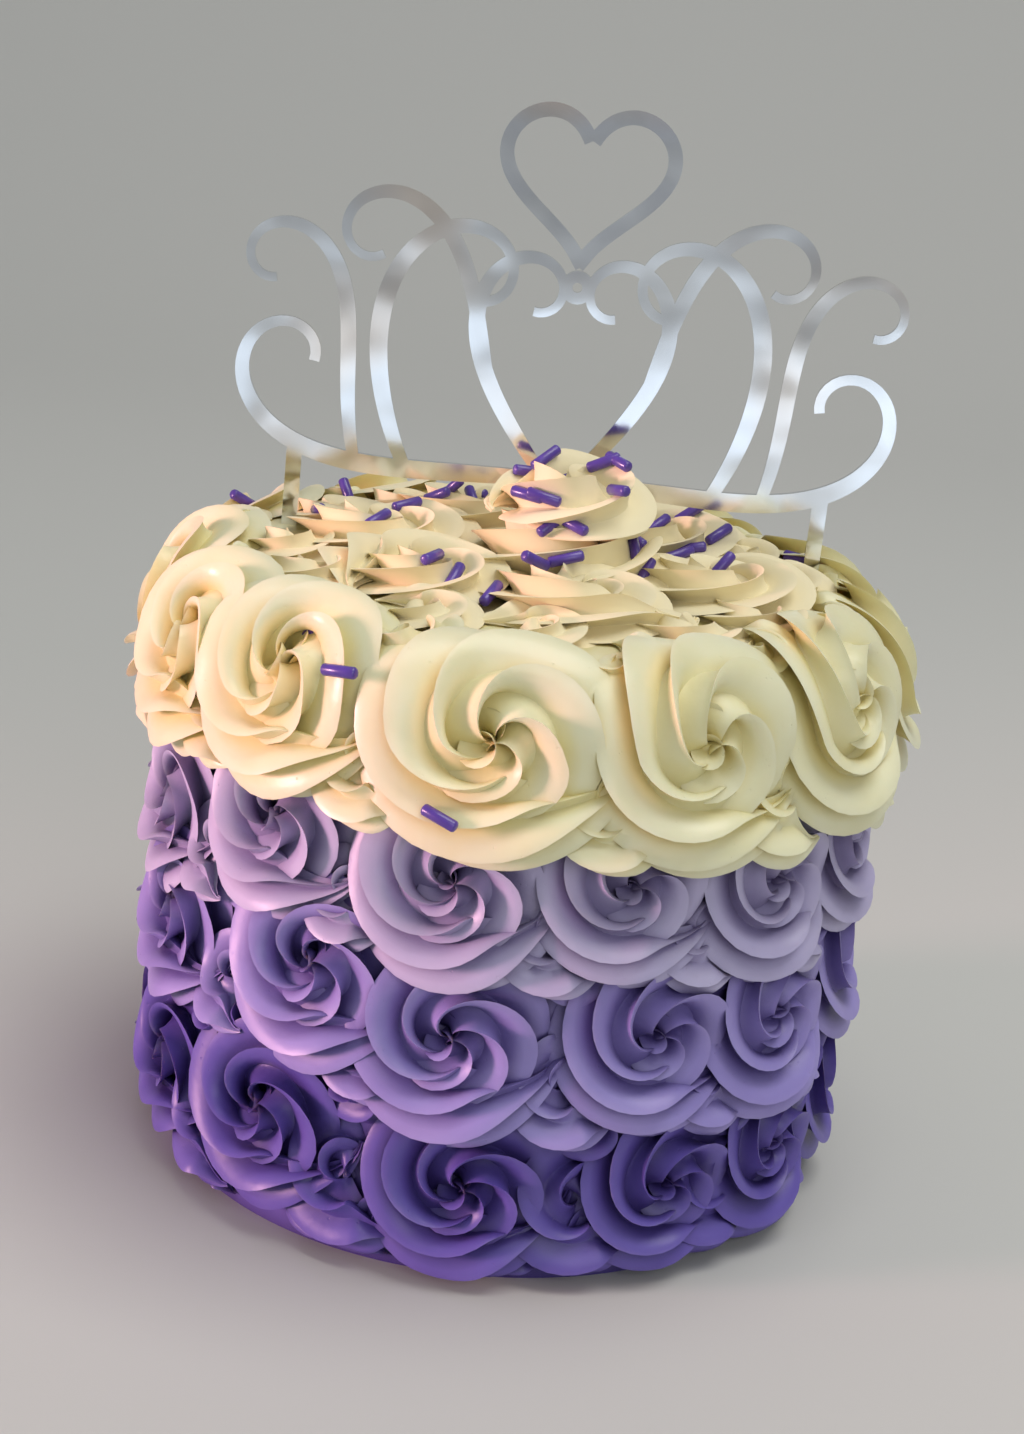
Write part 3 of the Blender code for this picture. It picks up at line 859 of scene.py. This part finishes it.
@dataclass(frozen=True)
class Sprinkles:
    """Sugar strands on the cream: those in view by their place in the frame, the others scattered behind."""

    length: float = 0.0085
    radius: float = 0.00135
    sides: int = 10
    sink: float = 0.0002
    seen: tuple[tuple[int, int], ...] = (
        (440, 820), (305, 631), (342, 672), (490, 597), (428, 557), (375, 520), (800, 560), (690, 553),
        (720, 567), (640, 572), (630, 550), (565, 555), (533, 565), (553, 528), (573, 528), (620, 495),
        (440, 495), (545, 495), (520, 450), (605, 465), (620, 465), (640, 455), (650, 460), (690, 515),
        (450, 578), (350, 494), (240, 500), (515, 462), (505, 447), (535, 450), (545, 460), (468, 470),
        (490, 468), (530, 492), (455, 490), (655, 452), (630, 460))
    behind: int = 14
    spread: float = 0.060
    drop: float = 0.3
    steep: float = 0.85
    edge: float = 0.145
    tilt: float = 0.9
    ends: tuple[tuple[float, float], ...] = ((0.0, 0.45), (0.0002, 0.80), (0.0006, 1.0))
    fold: float = 50.0
    seed: int = 11

    def rods(self) -> tuple[Array, list[list[int]]]:
        """One strand along X: rings of a rod whose ends are rounded over, with flat caps."""
        ends = np.array(self.ends) - (0.5 * self.length, 0.0)
        rings = np.concatenate([ends, ends[::-1] * (-1, 1)])
        turn = np.linspace(0, math.tau, self.sides, endpoint=False)
        x = np.repeat(rings[:, :1], self.sides, axis=1)
        reach = rings[:, 1:] * self.radius
        points = np.stack([x, reach * np.cos(turn), reach * np.sin(turn)], axis=-1).reshape(-1, 3)
        return points, tube_faces(len(rings), self.sides)

    def build(self, carriers: list[Thing], studio: "Studio") -> Thing:
        """Lay every strand on the cream and dress them.

        Args:
            carriers: The pieces that the strands lie on.
            studio: The studio, whose camera gives the direction of each place in view.

        Returns:
            One object with all the strands.
        """
        corners, faces = [], []
        for carrier in carriers:
            shift = len(corners)
            corners += [corner.co.copy() for corner in carrier.data.vertices]
            faces += [[shift + corner for corner in face.vertices] for face in carrier.data.polygons]
        surface = BVHTree.FromPolygons(corners, faces)
        draw = random.Random(self.seed)
        hits = [surface.ray_cast(Vector(studio.place), studio.sight(*spot)) for spot in self.seen]
        for _ in range(self.behind):
            angle, reach = draw.uniform(0.6, 1.4) * math.pi, self.spread * draw.random() ** 0.6
            start = Vector((reach * math.sin(angle), -reach * math.cos(angle), self.drop))
            hits.append(surface.ray_cast(start, Vector((0, 0, -1))))
        rod, rod_faces = self.rods()
        points, shells = [], []
        for where, normal, _, _ in hits:
            if where is None:
                continue
            widest = self.tilt if normal.z < self.steep and where.z > self.edge else math.pi
            turn = draw.uniform(-widest, widest)
            level = normal.cross(Vector((0.01, 0.0, 1.0))).normalized()
            along = (level * math.cos(turn) + normal.cross(level) * math.sin(turn)).normalized()
            side = normal.cross(along)
            basis = np.array([along, side, normal])
            shells.append(np.array(rod_faces[:-2]) + len(points) * len(rod))
            points.append(rod @ basis + np.array(where + normal * (self.radius - self.sink)))
        caps = [[corner + index * len(rod) for corner in cap] for index in range(len(points))
                for cap in rod_faces[-2:]]
        piece = mesh_object("sprinkles", np.concatenate(points), np.concatenate(shells).tolist() + caps)
        dress(piece, self.fold, SugarStrand().material())
        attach(piece, ROOT)
        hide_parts("icing_cream")
        return piece


@dataclass(frozen=True)
class Scroll:
    """One stroke of the topper, drawn on both sides of its middle."""

    reach: float
    height: float
    heading: float
    length: float
    first_bend: float
    last_bend: float
    lateness: float
    width: float
    thinnest: float = 0.55
    fullness: float = 0.12

    def line(self, steps: int) -> tuple[Array, Array, Array]:
        """Its middle line and widths.

        The heading is the sum of a bend that goes from the first to the last by share to a power,
        and the line is the sum of steps along the heading.

        Returns:
            Sideways parts, heights and widths.
        """
        share = (np.arange(steps) + 0.5) / steps
        bend = self.first_bend + (self.last_bend - self.first_bend) * share ** self.lateness
        step = self.length / steps
        heading = math.radians(self.heading) + np.cumsum(bend) * step
        across = self.reach + np.concatenate([[0.0], np.cumsum(step * np.cos(heading))])
        rise = self.height + np.concatenate([[0.0], np.cumsum(step * np.sin(heading))])
        along = np.minimum(np.linspace(0.0, 1.0, steps + 1) + self.fullness, 1.0)
        share = self.thinnest + (1 - self.thinnest) * np.sin(math.pi * along)
        return across, rise, self.width * share


@dataclass(frozen=True)
class Topper:
    """The upright mirror plate of scrolls under a heart, on two stakes."""

    middle: float = 0.003
    front: float = 0.021
    plate: float = 0.0015
    stake_reach: float = 0.065
    stake_foot: float = 0.112
    stake_top: float = 0.1680
    stake_width: float = 0.0038
    steps: int = 72
    heart_height: float = 0.2375
    heart_size: float = 0.020
    heart_stroke: float = 0.0034
    heart_waves: tuple[float, ...] = (13 / 16, -5 / 16, -2 / 16, -1 / 16)
    heart_start: float = 0.30
    heart_overlap: float = 0.045
    bead_height: float = 0.2115
    bead_radius: float = 0.0040
    bead_hole: float = 0.3
    bead_steps: int = 48
    fold: float = 35.0
    scrolls: tuple[Scroll, ...] = (
        Scroll(0.000, 0.164, 0, 0.120, -2, 160, 2.8, 0.0046),
        Scroll(0.003, 0.164, 50, 0.088, 4, 205, 2.4, 0.0040),
        Scroll(0.019, 0.186, 76, 0.084, 0, -190, 2.2, 0.0038),
        Scroll(0.038, 0.164, 62, 0.098, 12, 150, 2.6, 0.0044),
        Scroll(0.050, 0.163, 74, 0.088, 12, -205, 2.4, 0.0038),
    )

    def strip(self, name: str, across: Array, rise: Array, half: Array, closed: bool) -> Thing:
        """A flat stroke: each point of a line is offset both ways along its normal, front and back.

        Args:
            name: The object's name.
            across: The line's sideways parts.
            rise: The line's heights.
            half: Half the stroke's width at each point.
            closed: Whether the line's end meets its start.

        Returns:
            A closed solid as deep as the plate.
        """
        if closed:
            run_x, run_z = np.roll(across, -1) - np.roll(across, 1), np.roll(rise, -1) - np.roll(rise, 1)
        else:
            run_x, run_z = np.gradient(across), np.gradient(rise)
        length = np.hypot(run_x, run_z)
        normal = np.stack([-run_z / length, run_x / length], axis=-1)
        rings = []
        for side, depth in ((-1, -1), (1, -1), (1, 1), (-1, 1)):
            flat = np.stack([across, rise], axis=-1) + side * half[:, None] * normal
            level = np.full(len(across), self.front + 0.5 * depth * self.plate)
            rings.append(np.stack([flat[:, 0], level, flat[:, 1]], axis=-1))
        points = np.stack(rings, axis=1)
        faces = tube_faces(len(across), 4)
        if closed:
            last = 4 * (len(across) - 1)
            seam = [[last + side, last + (side + 1) % 4, (side + 1) % 4, side] for side in range(4)]
            faces = faces[:-2] + seam
        piece = mesh_object(name, points, faces)
        shape = bmesh.new()
        shape.from_mesh(piece.data)
        bmesh.ops.recalc_face_normals(shape, faces=shape.faces)
        shape.to_mesh(piece.data)
        shape.free()
        return piece

    def heart_half(self, side: int) -> Thing:
        """Half a heart: sideways sin³, upwards a sum of four cosines of the turn."""
        turn = np.linspace(self.heart_start, math.pi - self.heart_start / 2, self.steps)
        rise = sum(share * np.cos(turns * turn) for turns, share in enumerate(self.heart_waves, 1))
        across = np.sin(turn) ** 3 - self.heart_overlap * np.abs(np.cos(turn)) ** 40
        half = np.full(len(turn), 0.5 * self.heart_stroke)
        return self.strip(f"heart_{side}", self.middle + side * self.heart_size * across,
                          self.heart_height + self.heart_size * rise, half, False)

    def bead(self) -> Thing:
        """The ring under the heart."""
        turn = np.linspace(0.0, math.tau, self.bead_steps, endpoint=False)
        inner = self.bead_hole * self.bead_radius
        middle = 0.5 * (inner + self.bead_radius)
        half = np.full(len(turn), 0.5 * (self.bead_radius - inner))
        across, rise = middle * np.cos(turn), middle * np.sin(turn)
        return self.strip("bead", self.middle + across, self.bead_height + rise, half, True)

    def build(self) -> Thing:
        """Fuse the strokes and dress them."""
        parts = [self.bead()]
        for side in (-1, 1):
            parts.append(self.heart_half(side))
            reach = np.full(2, self.middle + side * self.stake_reach)
            rise = np.array([self.stake_foot, self.stake_top])
            parts.append(self.strip(f"stake_{side}", reach, rise, np.full(2, 0.5 * self.stake_width), False))
            for index, scroll in enumerate(self.scrolls):
                across, rise, width = scroll.line(self.steps)
                name = f"scroll_{side}_{index}"
                parts.append(self.strip(name, self.middle + side * across, rise, 0.5 * width, False))
        piece = join("topper_plate", parts)
        dress(piece, self.fold, MirrorPlate().material())
        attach(piece, ROOT)
        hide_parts("topper")
        return piece


@dataclass(frozen=True)
class Lamp:
    """A square soft light that faces an aim, or a round one that lights only a cone of some degrees."""

    name: str
    place: Triple
    size: float
    power: float
    colour: Triple
    aim: Triple = (0.0, 0.0, 0.1)
    cone: float = 0.0
    blend: float = 0.4

    def build(self) -> None:
        """Hang the lamp where the camera doesn't see it."""
        data = bpy.data.lights.new(self.name, "SPOT" if self.cone else "AREA")
        if self.cone:
            data.shadow_soft_size = 0.5 * self.size
            data.spot_size = math.radians(self.cone)
            data.spot_blend = self.blend
        else:
            data.size = self.size
        data.energy = self.power
        data.color = self.colour
        lamp = linked(self.name, data)
        lamp.location = self.place
        lamp.rotation_euler = (Vector(self.aim) - Vector(self.place)).to_track_quat("-Z", "Y").to_euler()
        lamp.visible_camera = False


@dataclass(frozen=True)
class Studio:
    """A plain pale floor, soft light and the photograph's camera."""

    lens: float = 61.34
    place: Triple = (-0.001875, -0.57068, 0.29012)
    right: Triple = (0.99454599, 0.03161037, 0.0993935)
    up: Triple = (-0.10429901, 0.30142152, 0.94776937)
    sensor: float = 36.0
    frame_width: int = 1024
    frame_height: int = 1434
    floor_size: float = 6.0
    floor_steps: int = 61
    sweep_start: float = 1.0
    sweep_rise: float = 0.6
    floor_colour: Triple = (0.605, 0.605, 0.575)
    room_colour: Triple = (0.80, 0.82, 0.86)
    room_strength: float = 0.385
    lamps: tuple[Lamp, ...] = (
        Lamp("overhead", (0.55, -0.25, 2.2), 1.4, 25.5, (1.0, 0.985, 0.95)),
        Lamp("front", (0.5, -1.4, 0.8), 0.8, 4.6, (0.96, 0.98, 1.0)),
        Lamp("pink_side", (-1.5, -0.525, 0.24), 0.4, 126.0, (1.0, 0.54, 0.60), cone=19.0),
        Lamp("low_glow", (0.05, -0.95, 0.02), 0.5, 0.6, (0.72, 0.85, 1.0), (0.05, -0.95, 1.0)))

    def directions(self) -> tuple[Vector, Vector]:
        """The camera's right and up directions, each one metre long."""
        return Vector(self.right).normalized(), Vector(self.up).normalized()

    def camera(self) -> None:
        """Set up the camera from its right and up directions."""
        data = bpy.data.cameras.new("camera")
        data.lens = self.lens
        data.sensor_width = self.sensor
        data.clip_start = 0.01
        eye = linked("camera", data)
        right, up = self.directions()
        turn = Matrix((right, up, right.cross(up))).transposed()
        eye.matrix_world = Matrix.Translation(Vector(self.place)) @ turn.to_4x4()
        bpy.context.scene.camera = eye

    def sight(self, column: float, line: float) -> Vector:
        """Direction from the camera to a place in the frame: right and up by pixels, ahead by the lens."""
        right, up = self.directions()
        focus = self.lens * self.frame_height / self.sensor
        ahead = up.cross(right)
        across, down = column - 0.5 * self.frame_width, line - 0.5 * self.frame_height
        return (right * across - up * down + ahead * focus).normalized()

    def floor(self) -> Thing:
        """A floor that sweeps up behind the cake, by the square of the distance past where it starts."""
        half = self.floor_size / 2
        reach = np.linspace(-half, half, self.floor_steps)
        rise = np.maximum(reach - self.sweep_start, 0.0) ** 2 * self.sweep_rise
        grid_x, grid_y = np.meshgrid(np.array([-half, half]), reach, indexing="ij")
        points = np.stack([grid_x, grid_y, np.broadcast_to(rise, grid_x.shape)], axis=-1)
        count = len(reach)
        step = np.arange(count - 1)
        faces = np.stack([step, step + count, step + count + 1, step + 1], axis=-1)
        floor = mesh_object("floor", points, faces)
        floor.data.shade_smooth()
        paint = Paint("pale_floor")
        floor.data.materials.append(paint.finish(Base_Color=self.floor_colour, Roughness=0.6))
        return floor

    def build(self) -> None:
        """Set up the floor, the lights and the camera."""
        self.camera()
        self.floor()
        for lamp in self.lamps:
            lamp.build()
        world = bpy.data.worlds.new("room")
        world.use_nodes = True
        background = world.node_tree.nodes["Background"]
        background.inputs["Color"].default_value = (*self.room_colour, 1.0)
        background.inputs["Strength"].default_value = self.room_strength
        bpy.context.scene.world = world
        bpy.context.scene.view_settings.view_transform = "Standard"


def main() -> None:
    """Build every piece in order and report it."""
    logging.basicConfig(level=logging.INFO, format="%(message)s")
    studio = Studio()
    studio.build()
    piping = [row.build() for row in ROWS] + [TopPiping().build()]
    pieces = [*piping, Sprinkles().build(piping[-2:], studio), Topper().build()]
    for piece in pieces:
        LOG.info("%s: %d triangles", piece.name, triangles(piece))
    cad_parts["sponge"].data.materials.clear()
    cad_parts["sponge"].data.materials.append(Crumb().material())


if __name__ == "__main__":
    main()
